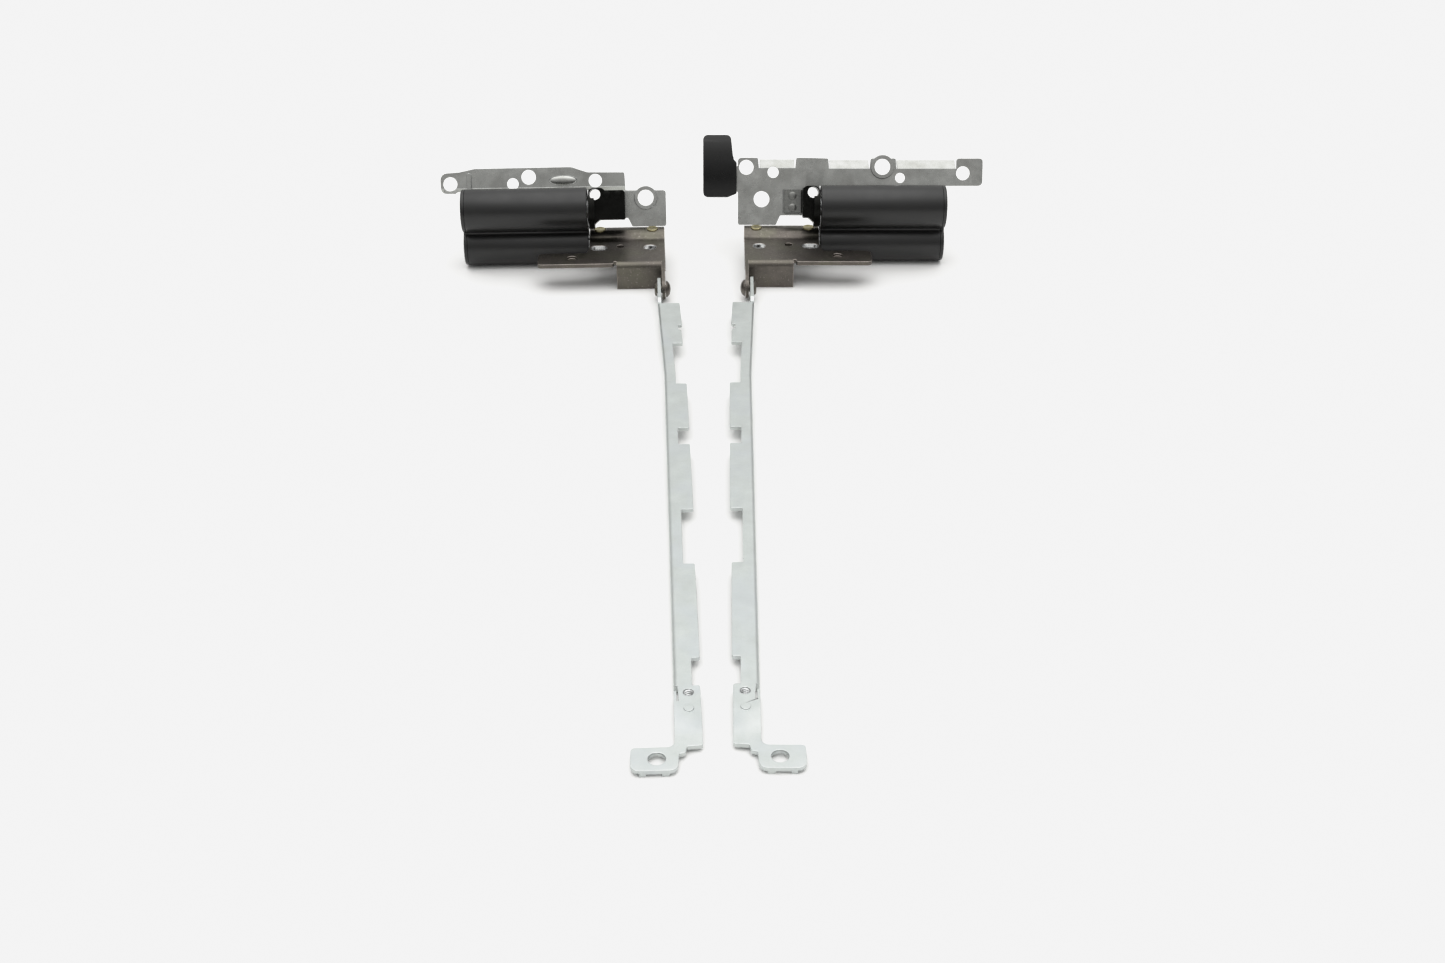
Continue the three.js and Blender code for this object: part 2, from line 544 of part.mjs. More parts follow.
// The plate runs full height, then a ramp steps back to a long strip with folded top flanges.
function makeRightBaseBracket() {
  const front = [[-8, PLATE_FRONT], [13.6, PLATE_FRONT], [18.8, STRIP_FRONT], [60, STRIP_FRONT]];
  const section = [...front, ...front.toReversed().map(([x, y]) => [x, y + BASE_SHEET])];
  const foldLine = 9.2;
  const top = 11.6;
  const outline = rounded([
    [-2.5, PLATE_FRONT_BOTTOM, 0.5], [6.6, PLATE_FRONT_BOTTOM, 0.5], [7.6, -2.0, 0.3], [12.8, -2.0, 0.8],
    [16.9, 0.6, 0.5], [17.1, 5.1, 0.3], [56.3, 5.1, 1.0], [56.3, top, 0.8], [50.0, top, 0.6],
    [50.0, foldLine], [35.6, foldLine],
    [35.4, top, 0.4], [29.4, top, 0.4], [29.2, foldLine], [19.4, foldLine], [19.2, top, 0.4],
    [11.4, top, 0.4], [11.2, foldLine], [2.5, foldLine], [2.3, top, 0.5], [-2.5, top, 0.8],
    [-2.5, 9.6, 0.2], [-6.4, 9.6, 0.6], [-6.4, 3.6, 0.6], [-2.5, 3.6, 0.2],
  ]);
  const blank = common(slabZ(section, [-6, 14]), slabY(outline, [0, 9]));
  const flanges = [[2.7, 11.0, PLATE_FRONT], [19.6, 29.0, STRIP_FRONT], [35.8, 49.8, STRIP_FRONT]].map(
    ([x0, x1, y]) => {
      const leaf = [
        [y, foldLine - 0.3], [y, foldLine], [y + 2.4, top - 0.25], [y + 2.9, top - 0.9],
        [y + BASE_SHEET, foldLine - 0.3],
      ];
      return slabX(leaf, [x0, x1]);
    },
  );
  const collar = ring(RIGHT_BASE.holes[3], STRIP_FRONT);
  const recess = box([8.3, 12.4], [PLATE_FRONT - 0.1, PLATE_FRONT + 0.25], [-1.5, 4.0]);
  const back = PLATE_FRONT + BASE_SHEET;
  const slant = slabX([
    [PLATE_FRONT, PLATE_FRONT_BOTTOM], [PLATE_FRONT, -6], [back + 1, -6], [back + 1, PLATE_BOTTOM],
    [back, PLATE_BOTTOM],
  ], [-3, 8]);
  return drill(cut(join(blank, ...flanges, collar), recess, slant), RIGHT_BASE.holes, RIGHT_BASE.rivets);
}

// A moulded block pushed over the tongue at the inner end of the right base bracket
function makeRubberBlock() {
  const body = slabY(rounded([
    [-10.8, 2.3, 1.1], [-4.6, 2.3, 0.4], [-2.8, 3.0, 0.5], [-2.8, 10.4, 0.4], [-4.1, 11.6, 0.6],
    [-4.1, 16.9, 1.1], [-10.8, 16.9, 1.1],
  ], 5), [1.2, 5.4]);
  const pocket = box([-6.8, -1], [PLATE_FRONT - FIT_GAP, PLATE_FRONT + BASE_SHEET + FIT_GAP], [3.2, 10]);
  return cut(body, pocket);
}

// ---- assembly ----

function mirrored(geometry) {
  const copy = geometry.index ? geometry.toNonIndexed() : geometry.clone();
  copy.scale(-1, 1, 1);
  const array = copy.attributes.position.array;
  for (let i = 0; i < array.length; i += 9) {
    for (let k = 0; k < 3; k += 1) {
      [array[i + 3 + k], array[i + 6 + k]] = [array[i + 6 + k], array[i + 3 + k]];
    }
  }
  copy.deleteAttribute('normal');
  copy.deleteAttribute('uv');
  return mergeVertices(copy, 1e-5);
}

function makeHinge(side, place, base, baseBracket) {
  const flip = side === 'left';
  const hinge = new THREE.Group();
  const barrel = new THREE.Group();
  const baseSide = new THREE.Group();
  const add = (group, name, geometry, finish) => {
    const material = new THREE.MeshStandardMaterial(FINISHES[finish]);
    const mesh = new THREE.Mesh(flip ? mirrored(geometry) : geometry, material);
    mesh.name = `${side}_${name}`;
    group.add(mesh);
  };

  add(hinge, 'display_bracket', makeDisplayBracket(), 'bronze');
  add(hinge, 'display_arm', makeDisplayArm(), 'zinc');
  add(hinge, 'arm_rivet', makeArmRivet(), 'bronze');
  SHAFT_RIVETS.forEach((x, i) => add(hinge, `shaft_rivet_${i + 1}`, makeShaftRivet(x), 'brass'));
  add(hinge, 'display_shaft', makeDisplayShaft(), 'steel');

  add(barrel, 'barrel_cover', makeCover(), 'plastic');
  add(barrel, 'barrel_end_cap', makeEndCap(), 'plastic');
  add(barrel, 'inner_link_plate', makeInnerLinkPlate(), 'blackOxide');
  add(barrel, 'outer_link_plate', makeOuterLinkPlate(), 'blackOxide');
  add(barrel, 'friction_clip', makeFrictionClip(), 'springSteel');

  add(baseSide, 'base_bracket', baseBracket, 'nickel');
  add(baseSide, 'base_knuckle', makeKnuckle(base.knuckleStart, base.knuckleStep, base.rivets), 'blackOxide');
  base.rivets.forEach((spot, i) => {
    add(baseSide, `base_rivet_${i + 1}`, makeBaseRivet(spot, base.rivetFront), 'blackOxide');
  });
  add(baseSide, 'base_shaft', makeShaft(1.8, base.knuckleStart + 0.9, COVER_START - 0.1), 'steel');

  const shafts = [
    [hinge, 'display', [114, 254]],
    [baseSide, 'base', [BASE_LEAN - 1, BASE_LEAN + 139]],
  ];
  shafts.forEach(([group, name, tab]) => {
    add(group, `${name}_stop_cam`, makeStopCam(...tab), 'steel');
    add(group, `${name}_thrust_washer`, makeThrustWasher(), 'steel');
    add(group, `${name}_disc_springs`, makeDiscSprings(), 'springSteel');
    add(group, `${name}_lock_nut`, makeLockNut(), 'steel');
  });
  if (side === 'right') {
    add(baseSide, 'rubber_block', makeRubberBlock(), 'rubber');
  }

  barrel.rotation.x = THREE.MathUtils.degToRad(BARREL_LEAN);
  baseSide.position.set(0, 0, AXIS_SPACING).applyEuler(barrel.rotation);
  baseSide.rotation.x = THREE.MathUtils.degToRad(-BASE_LEAN);
  hinge.add(barrel, baseSide);
  hinge.rotation.set(THREE.MathUtils.degToRad(ARM_PITCH), 0, THREE.MathUtils.degToRad(place.yaw), 'ZYX');
  hinge.position.set(place.x, place.y, SHAFT_HEIGHT);
  return hinge;
}

const pair = new THREE.Group();
pair.add(makeHinge('left', LEFT_PLACE, LEFT_BASE, makeLeftBaseBracket()));
pair.add(makeHinge('right', RIGHT_PLACE, RIGHT_BASE, makeRightBaseBracket()));

// The origin is the middle of the underside of the pair's box.
pair.updateMatrixWorld(true);
const bounds = new THREE.Box3().setFromObject(pair, true);
pair.position.set(-(bounds.min.x + bounds.max.x) / 2, -(bounds.min.y + bounds.max.y) / 2, -bounds.min.z);

export default pair;
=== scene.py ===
import json
import math

import bmesh
import bpy
from mathutils import Matrix, Vector

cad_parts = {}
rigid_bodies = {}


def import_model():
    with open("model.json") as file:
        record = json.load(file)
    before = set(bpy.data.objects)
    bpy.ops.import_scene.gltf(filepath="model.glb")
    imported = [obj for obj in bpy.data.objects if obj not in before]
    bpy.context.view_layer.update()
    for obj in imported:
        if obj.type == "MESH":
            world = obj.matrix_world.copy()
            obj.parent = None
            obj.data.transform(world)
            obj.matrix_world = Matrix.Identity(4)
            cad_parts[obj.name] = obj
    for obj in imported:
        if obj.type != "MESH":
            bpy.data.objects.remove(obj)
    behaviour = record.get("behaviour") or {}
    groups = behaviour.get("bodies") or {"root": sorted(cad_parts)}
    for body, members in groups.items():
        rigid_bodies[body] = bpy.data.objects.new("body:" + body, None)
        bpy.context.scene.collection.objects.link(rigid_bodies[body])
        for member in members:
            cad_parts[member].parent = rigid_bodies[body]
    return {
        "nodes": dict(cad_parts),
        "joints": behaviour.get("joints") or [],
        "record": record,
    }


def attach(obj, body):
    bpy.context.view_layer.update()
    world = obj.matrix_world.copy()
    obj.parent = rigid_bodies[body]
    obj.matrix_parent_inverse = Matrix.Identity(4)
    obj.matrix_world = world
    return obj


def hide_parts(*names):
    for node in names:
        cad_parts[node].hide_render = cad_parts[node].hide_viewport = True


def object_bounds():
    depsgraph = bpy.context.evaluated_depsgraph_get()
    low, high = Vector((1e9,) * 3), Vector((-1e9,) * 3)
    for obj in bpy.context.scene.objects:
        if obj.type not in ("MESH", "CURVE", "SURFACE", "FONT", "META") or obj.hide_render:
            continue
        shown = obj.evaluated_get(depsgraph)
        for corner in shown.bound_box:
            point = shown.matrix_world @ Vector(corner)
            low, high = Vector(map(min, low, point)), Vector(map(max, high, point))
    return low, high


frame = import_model()
cad_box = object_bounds()

MM = 0.001
SIDES = ("left", "right")

# Sizes the new pieces share with the CAD, in millimetres in the frames of make_places
LOWER_LOBE_RADIUS = 4.55
UPPER_LOBE_RADIUS = 5.05
LOBE_FILLET = 0.4
COVER_START = 17.1
BARREL_END = 46.7
CAP_LENGTH = 0.9
COVER_END = BARREL_END - CAP_LENGTH
COVER_WALL = 0.75
FIT_GAP = 0.3
CURL_TOP = 3.8
RIVET_RECESS = 0.42
SHAFT_RIVETS = (1.9, 14.4)            # places along the lower shaft
EAR_RIVET = (-22.0, -1.6)             # (y, z) through the bracket's ear and the arm's wall
EAR_FACE = -0.85
HEAD_FACE = 1.0
PLATE_BACK = 3.7
DECK_TOP = 2.1
DECK_SHEET = 1.0
DECK_SLOTS = ((2.5, 3.1), (14.6, 4.0))  # (middle, length) along X
SLOT_WIDTH = 2.8
SLOT_LINE = -7.1
KNUCKLE_TONGUE_END = 12.8
BASE_RIVETS = {                       # front of the knuckle, and the (x, z) of each rivet
    "left": (-2.7, ((9.9, 3.15), (12.4, 3.15))),
    "right": (1.4, ((10.5, 2.6), (10.5, -0.2))),
}
TAPPED_HOLE = (-2.35, -166.2)
ARM_TOP = -0.4
ARM_SHEET = 0.8

# Sections of the finer pieces, in millimetres. On the barrel a point is (place along the shafts,
# growth of the two-lobed outline), on a turned piece (radius, height along the axis).
MOUTH_ROUND = 0.28
MOUTH_STEPS = 4
COVER_STATIONS = (
    (COVER_END - 0.08, 0.0), (COVER_END - 0.02, -0.03), (COVER_END, -0.08),
    (COVER_END, -COVER_WALL), (COVER_START + 0.2, -COVER_WALL),
    (COVER_START, -COVER_WALL + 0.15),
)
SPIGOT = -COVER_WALL - FIT_GAP
CAP_STATIONS = (
    (BARREL_END - 1.9, SPIGOT - 0.1), (BARREL_END - 1.8, SPIGOT), (COVER_END + 0.05, SPIGOT),
    (COVER_END + 0.05, -0.12), (COVER_END + 0.1, -0.05), (BARREL_END - 0.34, -0.05),
    (BARREL_END - 0.16, -0.10), (BARREL_END - 0.05, -0.21), (BARREL_END, -0.38),
    (BARREL_END, -0.95), (BARREL_END - 0.06, -1.05), (BARREL_END - 0.2, -1.1),
    (BARREL_END - 0.22, -1.2), (BARREL_END - 0.22, -2.4),
)
RIVET_SEAT = CURL_TOP - RIVET_RECESS + 0.07
SHAFT_RIVET = (
    (0.3, -2.75), (0.95, -2.72), (1.08, -2.6), (1.1, -2.45), (0.7, -2.4), (0.7, RIVET_SEAT),
    (1.3, RIVET_SEAT), (1.32, CURL_TOP - 0.1), (1.29, CURL_TOP), (1.22, CURL_TOP + 0.04),
    (1.1, CURL_TOP + 0.05), (0.75, CURL_TOP + 0.05), (0.68, CURL_TOP), (0.3, CURL_TOP - 0.02),
)
DOME_RADIUS = 1.9
DOME_HEIGHT = 1.1
DOME_FROM = 172                       # degrees, just short of the pole
EAR_SEAT = EAR_FACE - 0.08
WALL_SEAT = HEAD_FACE + 0.1
ARM_RIVET_SHANK = (
    (0.9, EAR_SEAT), (0.9, WALL_SEAT), (1.5, WALL_SEAT), (1.6, WALL_SEAT + 0.08),
    (1.56, WALL_SEAT + 0.3), (1.4, WALL_SEAT + 0.45), (1.1, WALL_SEAT + 0.54),
    (0.3, WALL_SEAT + 0.55),
)
BASE_RIVET_FRONT = ((0.2, -0.3), (0.72, -0.27), (0.9, -0.18), (0.95, -0.06), (0.6, -0.06))
BASE_RIVET_BACK = ((0.6, 0.08), (1.2, 0.08), (1.2, 0.2), (1.1, 0.38), (0.85, 0.47), (0.2, 0.5))
SLOT_RIM_TOP = DECK_TOP - 0.06
SLOT_RIM_LOW = DECK_TOP - DECK_SHEET + 0.1
SLOT_RIM_SECTION = (                  # (inset from the slot's edge, height)
    (0.03, SLOT_RIM_LOW), (0.03, SLOT_RIM_TOP - 0.05), (0.06, SLOT_RIM_TOP),
    (0.14, SLOT_RIM_TOP - 0.02), (0.24, SLOT_RIM_TOP - 0.16), (0.24, SLOT_RIM_LOW),
)
THREAD_PITCH = 0.4
THREAD_TURNS = 3
THREAD_BOTTOM = ARM_TOP - ARM_SHEET - 0.5
THREAD_SECTION = ((0.84, -0.17), (0.84, 0.17), (0.66, 0.03), (0.66, -0.03))
BLOCK_FRONT = 1.2
BLOCK_BACK = 5.4
BLOCK_BOTTOM = 2.3
BLOCK_TOP = 16.9
BLOCK_ROUND = 0.9
BLOCK_BOW = 1.3                       # how far back the front's two ends curve
BOW_FROM = 3.3                        # the bow fades out towards this depth
BOW_DEPTH = 2.1

# Counts of facets, and the angles in degrees above which an edge is drawn sharp
LOBE_STEPS = 28
FILLET_STEPS = 8
TURN_STEPS = 40
SLOT_END_STEPS = 14
THREAD_STEPS = 32
BLOCK_ROUND_STEPS = 8
BLOCK_SLICES = 16
SHARP_FROM = 32
TURNED_SHARP_FROM = 40
RUBBER_SHARP_FROM = 50


# ---- materials ----

# Noise scales, in features per metre
WAVES = 130
STAINS = 170
SMEARS = 260
CLOUDS = 420
TURNED_CLOUDS = 900
POLISH = 1500
SPOTS = 2600
ROLLING_LINES = 5200
TOOL_RINGS = 6500
SPECKS = 8200

# Places of the colour sockets on a Mix node
MIX_FIRST = 6
MIX_SECOND = 7
MIX_RESULT = 2


class Surface:
    """A node material built from noise in the object's own coordinates, in metres."""

    def __init__(self, name, metallic, specular=0.5):
        self.material = bpy.data.materials.new(name)
        self.material.use_nodes = True
        self.tree = self.material.node_tree
        self.shader = self.tree.nodes["Principled BSDF"]
        self.shader.inputs["Metallic"].default_value = metallic
        self.shader.inputs["Specular IOR Level"].default_value = specular
        self.coords = self.tree.nodes.new("ShaderNodeTexCoord").outputs["Object"]

    def link(self, source, target):
        self.tree.links.new(source, target)

    def noise(self, scale, detail=2.0, stretch=(1, 1, 1), offset=0.0):
        mapping = self.tree.nodes.new("ShaderNodeMapping")
        mapping.inputs["Scale"].default_value = stretch
        mapping.inputs["Location"].default_value = (offset, offset, offset)
        self.link(self.coords, mapping.inputs["Vector"])
        node = self.tree.nodes.new("ShaderNodeTexNoise")
        node.inputs["Scale"].default_value = scale
        node.inputs["Detail"].default_value = detail
        self.link(mapping.outputs["Vector"], node.inputs["Vector"])
        return node.outputs["Fac"]

    def span(self, value, low, high, from_low=0.3, from_high=0.7):
        """Maps value, by default the usual swing of a noise, to low..high."""
        node = self.tree.nodes.new("ShaderNodeMapRange")
        node.inputs["From Min"].default_value = from_low
        node.inputs["From Max"].default_value = from_high
        node.inputs["To Min"].default_value = low
        node.inputs["To Max"].default_value = high
        self.link(value, node.inputs["Value"])
        return node.outputs["Result"]

    def blend(self, factor, first, second):
        """Mixes two colours, each an (r, g, b) or a socket."""
        node = self.tree.nodes.new("ShaderNodeMix")
        node.data_type = "RGBA"
        self.link(factor, node.inputs["Factor"])
        for place, value in ((MIX_FIRST, first), (MIX_SECOND, second)):
            if isinstance(value, tuple):
                node.inputs[place].default_value = (*value, 1)
            else:
                self.link(value, node.inputs[place])
        return node.outputs[MIX_RESULT]

    def combine(self, operation, first, second):
        """Adds or multiplies two values, each a number or a socket."""
        node = self.tree.nodes.new("ShaderNodeMath")
        node.operation = operation
        for socket, value in zip(node.inputs, (first, second)):
            if isinstance(value, (int, float)):
                socket.default_value = value
            else:
                self.link(value, socket)
        return node.outputs["Value"]

    def color(self, source):
        self.link(source, self.shader.inputs["Base Color"])

    def roughness(self, source):
        self.link(source, self.shader.inputs["Roughness"])

    def polish(self, roughness):
        """Roughness that drifts about a mean, as handling and plating leave it."""
        drift = self.noise(POLISH, 3, offset=0.5)
        self.roughness(self.span(drift, roughness - 0.06, roughness + 0.08))

    def bumps(self, *layers):
        """Each layer is (height, strength, depth in metres)."""
        normal = None
        for height, strength, depth in layers:
            node = self.tree.nodes.new("ShaderNodeBump")
            node.inputs["Strength"].default_value = strength
            node.inputs["Distance"].default_value = depth
            self.link(height, node.inputs["Height"])
            if normal:
                self.link(normal, node.inputs["Normal"])
            normal = node.outputs["Normal"]
        self.link(normal, self.shader.inputs["Normal"])


def shaded(color, factor):
    return tuple(factor * value for value in color)


def plated(name, dark, light, roughness, wear=None, tint=None):
    """Metal with a clouded plate, rolling lines along Y and a fine crystalline speck."""
    s = Surface(name, 1.0)
    clouds = s.noise(CLOUDS, 5)
    specks = s.noise(SPECKS, 2, offset=0.3)
    lines = s.noise(ROLLING_LINES, 2, stretch=(1, 0.05, 1))
    tone = s.combine("ADD", s.combine("MULTIPLY", clouds, 0.5),
                     s.combine("MULTIPLY", specks, 0.5))
    base = s.blend(s.span(tone, 0, 1), dark, light)
    if tint:
        base = s.blend(s.span(s.noise(STAINS, 4, offset=0.9), 0, 0.6, 0.45, 0.65), base, tint)
    if wear:
        base = s.blend(s.span(s.noise(SPOTS, 3, offset=0.7), 0, 1, 0.62, 0.7), base, wear)
    s.color(base)
    s.polish(roughness)
    s.bumps((s.noise(WAVES, 1, offset=0.2), 0.6, 2e-4), (lines, 0.25, 6e-6), (specks, 0.4, 9e-6))
    return s.material


def part_ground(name, dark, ground, edge_x, roughness):
    """Black oxide, ground back to grey metal on the side of edge_x nearer the middle."""
    wander = 4e-4
    softness = 2.5e-4
    s = Surface(name, 1.0)
    split = s.tree.nodes.new("ShaderNodeSeparateXYZ")
    s.link(s.coords, split.inputs["Vector"])
    mottle = s.noise(SPOTS, 3)
    edge = s.combine("ADD", split.outputs["X"], s.combine("MULTIPLY", mottle, wander))
    black = s.blend(s.span(mottle, 0, 1), dark, shaded(dark, 2.2))
    grey = s.blend(s.span(mottle, 0, 1), ground, shaded(ground, 1.4))
    s.color(s.blend(s.span(edge, 0, 1, edge_x, edge_x + softness), grey, black))
    s.polish(roughness)
    s.bumps((s.noise(SPECKS, 2, offset=0.3), 0.4, 9e-6))
    return s.material


def moulded(name, dark, light, roughness, texture, depth, specular):
    """Plastic or rubber with a spark-eroded texture and a little handling polish."""
    s = Surface(name, 0.0, specular)
    grains = s.noise(texture, 3)
    smears = s.noise(SMEARS, 3, offset=0.4)
    s.color(s.blend(s.span(grains, 0, 1), dark, light))
    s.roughness(s.span(smears, roughness - 0.05, roughness + 0.06))
    s.bumps((grains, 0.5, depth))
    return s.material


def turned_metal(name, dark, light, roughness):
    """Metal turned about the X axis, with tool rings across it."""
    s = Surface(name, 1.0)
    rings = s.noise(TOOL_RINGS, 2, stretch=(1, 0.02, 0.02))
    clouds = s.noise(TURNED_CLOUDS, 3)
    s.color(s.blend(s.span(clouds, 0, 1), dark, light))
    s.roughness(s.span(rings, roughness - 0.05, roughness + 0.08))
    s.bumps((rings, 0.4, 8e-6))
    return s.material


OXIDE_BLACK = (0.006, 0.006, 0.0055)
GROUND_GREY = (0.17, 0.172, 0.163)
GROUND_ROUGHNESS = 0.38

# Each row: a dark and a light tone of the surface, its mean roughness, and what else it has
MATERIALS = {
    "zinc_plate": plated("zinc plate", (0.475, 0.505, 0.49), (0.575, 0.605, 0.59), 0.42,
                         tint=(0.52, 0.55, 0.56)),
    "zinc_edge": plated("zinc cut edge", (0.50, 0.53, 0.52), (0.74, 0.77, 0.76), 0.32),
    "nickel_plate": plated("nickel plate", (0.31, 0.315, 0.30), (0.49, 0.495, 0.475), 0.30,
                           tint=(0.28, 0.28, 0.265)),
    "nickel_edge": plated("nickel cut edge", (0.27, 0.275, 0.27), (0.38, 0.385, 0.38), 0.3),
    "bronze_oxide": plated("bronze oxide", (0.076, 0.069, 0.062), (0.132, 0.118, 0.105), 0.38,
                           wear=(0.20, 0.18, 0.16), tint=(0.115, 0.112, 0.085)),
    "bronze_edge": plated("bronze oxide edge", (0.22, 0.20, 0.18), (0.40, 0.36, 0.33), 0.3),
    "black_oxide": plated("black oxide", OXIDE_BLACK, (0.014, 0.014, 0.013), 0.4),
    "black_edge": plated("black oxide edge", (0.02, 0.02, 0.019), (0.05, 0.05, 0.048), 0.34),
    "bright_steel": turned_metal("turned steel", (0.50, 0.51, 0.51), (0.62, 0.63, 0.63), 0.26),
    "spring_steel": turned_metal("spring steel", (0.22, 0.225, 0.23), (0.34, 0.35, 0.36), 0.34),
    "brass_rivet": turned_metal("rivet", (0.30, 0.27, 0.15), (0.44, 0.40, 0.24), 0.36),
    "black_plastic": moulded("black plastic", (0.0026, 0.0026, 0.0026), (0.0044, 0.0044, 0.0042),
                             0.38, texture=9000, depth=2e-6, specular=0.46),
    "black_rubber": moulded("black rubber", (0.0012, 0.0012, 0.0012), (0.0028, 0.0028, 0.0027),
                            0.30, texture=5200, depth=4e-6, specular=0.32),
}
EDGES = {
    "zinc_plate": "zinc_edge",
    "nickel_plate": "nickel_edge",
    "bronze_oxide": "bronze_edge",
    "black_oxide": "black_edge",
}
SLOT_OF_NODE = {
    row["node"]: row["material_slot"] for row in frame["record"]["subparts"]
}


def dress(obj, slot):
    """Gives obj the slot's material, with the worn edge material second where there is one."""
    obj.data.materials.clear()
    obj.data.materials.append(MATERIALS[slot])
    if slot in EDGES:
        obj.data.materials.append(MATERIALS[EDGES[slot]])


def smooth(mesh, degrees):
    mesh.polygons.foreach_set("use_smooth", [True] * len(mesh.polygons))
    mesh.set_sharp_from_angle(angle=math.radians(degrees))
    mesh.update()


# ---- carried-over CAD nodes: welded, rolled edges, weighted normals ----

EDGE_WIDTH = {                        # millimetres
    "zinc_plate": 0.07,
    "nickel_plate": 0.07,
    "bronze_oxide": 0.09,
    "black_oxide": 0.1,
    "bright_steel": 0.06,
    "spring_steel": 0.05,
}
WELD_DISTANCE = 2e-6
FLAT_WITHIN = 0.8                     # degrees
ROLLED_FROM = 34
BENT_ROLLED_FROM = 62                 # leaves the bends of the bronze sheet alone
FACE_WEIGHT = 90


def finish_node(obj, slot):
    dress(obj, slot)
    weld = obj.modifiers.new("weld", "WELD")
    weld.merge_threshold = WELD_DISTANCE
    flat = obj.modifiers.new("flat", "DECIMATE")
    flat.decimate_type = "DISSOLVE"
    flat.angle_limit = math.radians(FLAT_WITHIN)
    bevel = obj.modifiers.new("edges", "BEVEL")
    bevel.width = EDGE_WIDTH[slot] * MM
    bevel.segments = 2
    bevel.limit_method = "ANGLE"
    bevel.angle_limit = math.radians(BENT_ROLLED_FROM if slot == "bronze_oxide" else ROLLED_FROM)
    # The knuckles have walls thinner than two rolled edges
    bevel.use_clamp_overlap = slot == "black_oxide"
    bevel.miter_outer = "MITER_SHARP"
    if slot in EDGES:
        bevel.material = 1
    smooth(obj.data, 180)
    weighted = obj.modifiers.new("normals", "WEIGHTED_NORMAL")
    weighted.mode = "FACE_AREA"
    weighted.weight = FACE_WEIGHT


for name, node in frame["nodes"].items():
    slot = SLOT_OF_NODE[name]
    if slot in EDGE_WIDTH:
        finish_node(node, slot)
    else:
        dress(node, slot)


# ---- new pieces ----

class Place:
    """One body's frame as the CAD draws it: X out along the shafts, Y back, Z up, in mm."""

    def __init__(self, origin, out, back, up):
        self.origin = origin
        self.turn = Matrix([[axis[row] for axis in (out, back, up)] for row in range(3)])

    def __call__(self, x, y, z):
        return self.origin + self.turn @ (Vector((x, y, z)) * MM)

    def inverse(self, point):
        return self.turn.transposed() @ (point - self.origin) / MM


def make_places(side):
    """The frames of the display, barrel and base, from the record's joints and mounts."""
    joints = {joint["name"]: joint for joint in frame["joints"]}
    normals = {mount["name"]: Vector(mount["axis"]) for mount in frame["record"]["mounts"]}
    display = Vector(joints[f"{side}_display_turn"]["pos_m"])
    base = Vector(joints[f"{side}_base_turn"]["pos_m"])
    out = Vector(joints[f"{side}_display_turn"]["axis"])
    hand = 1 if side == "right" else -1
    if out.x * hand < 0:
        out.negate()
    arm_up = normals[f"{side}_arm_tab_face"]
    barrel_up = (base - display).normalized()
    plate_back = normals[f"{side}_base_plate_face"]
    return {
        "display": Place(display, out, arm_up.cross(out) * hand, arm_up),
        "barrel": Place(display, out, barrel_up.cross(out) * hand, barrel_up),
        "base": Place(base, out, plate_back, out.cross(plate_back) * hand),
        "spacing": (base - display).length / MM,
    }


PLACES = {side: make_places(side) for side in SIDES}


def piece(name, body, slot, bm, replaced=(), sharp=SHARP_FROM):
    bmesh.ops.recalc_face_normals(bm, faces=bm.faces)
    mesh = bpy.data.meshes.new(name)
    bm.to_mesh(mesh)
    bm.free()
    obj = bpy.data.objects.new(name, mesh)
    bpy.context.scene.collection.objects.link(obj)
    dress(obj, slot)
    smooth(mesh, sharp)
    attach(obj, body)
    if replaced:
        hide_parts(*replaced)


def arc(cx, cy, radius, start, end, steps):
    return [
        (cx + radius * math.cos(math.radians(start + (end - start) * i / steps)),
         cy + radius * math.sin(math.radians(start + (end - start) * i / steps)))
        for i in range(steps + 1)
    ]


def lobes(spacing, grow):
    """Two round lobes joined by hollow fillets, as (y, z) points with one count for any grow."""
    lower = LOWER_LOBE_RADIUS + grow
    upper = UPPER_LOBE_RADIUS + grow
    fillet = LOBE_FILLET - grow
    to_lower = lower + fillet
    to_upper = upper + fillet
    height = (to_lower ** 2 - to_upper ** 2 + spacing ** 2) / (2 * spacing)
    width = math.sqrt(to_lower ** 2 - height ** 2)
    low = math.degrees(math.atan2(height, width))
    high = math.degrees(math.atan2(spacing - height, width))
    return [
        *arc(0, 0, lower, -180 - low, low, 2 * LOBE_STEPS),
        *arc(width, height, fillet, 180 + low, 180 - high, FILLET_STEPS)[1:-1],
        *arc(0, spacing, upper, -high, 180 + high, 2 * LOBE_STEPS),
        *arc(-width, height, fillet, high, -low, FILLET_STEPS)[1:-1],
    ]


def loft(bm, rings, closed=False, capped=False):
    """Joins rings of equal point count; each ring is a list of BMVerts."""
    pairs = list(zip(rings, rings[1:]))
    if closed:
        pairs.append((rings[-1], rings[0]))
    for first, second in pairs:
        count = len(first)
        for i in range(count):
            j = (i + 1) % count
            bm.faces.new((first[i], first[j], second[j], second[i]))
    if capped:
        bm.faces.new(rings[0])
        bm.faces.new(rings[-1])


def barrel_piece(side, name, stations, node, **ends):
    """A black piece with the two-lobed outline, lofted through its stations."""
    place = PLACES[side]["barrel"]
    spacing = PLACES[side]["spacing"]
    bm = bmesh.new()
    rings = [[bm.verts.new(place(x, y, z)) for y, z in lobes(spacing, grow)]
             for x, grow in stations]
    loft(bm, rings, **ends)
    piece(f"{side}_{name}", f"{side}_barrel", "black_plastic", bm, (f"{side}_{node}",))


def make_cover(side):
    """The shell, with rounded mouths and a fine parting line before the end cap."""
    mouth = [
        (COVER_START + MOUTH_ROUND * (1 - math.cos(angle)), -MOUTH_ROUND * (1 - math.sin(angle)))
        for angle in (math.radians(90 * i / MOUTH_STEPS) for i in range(MOUTH_STEPS + 1))
    ]
    barrel_piece(side, "cover_shell", (*mouth, *COVER_STATIONS), "barrel_cover", closed=True)


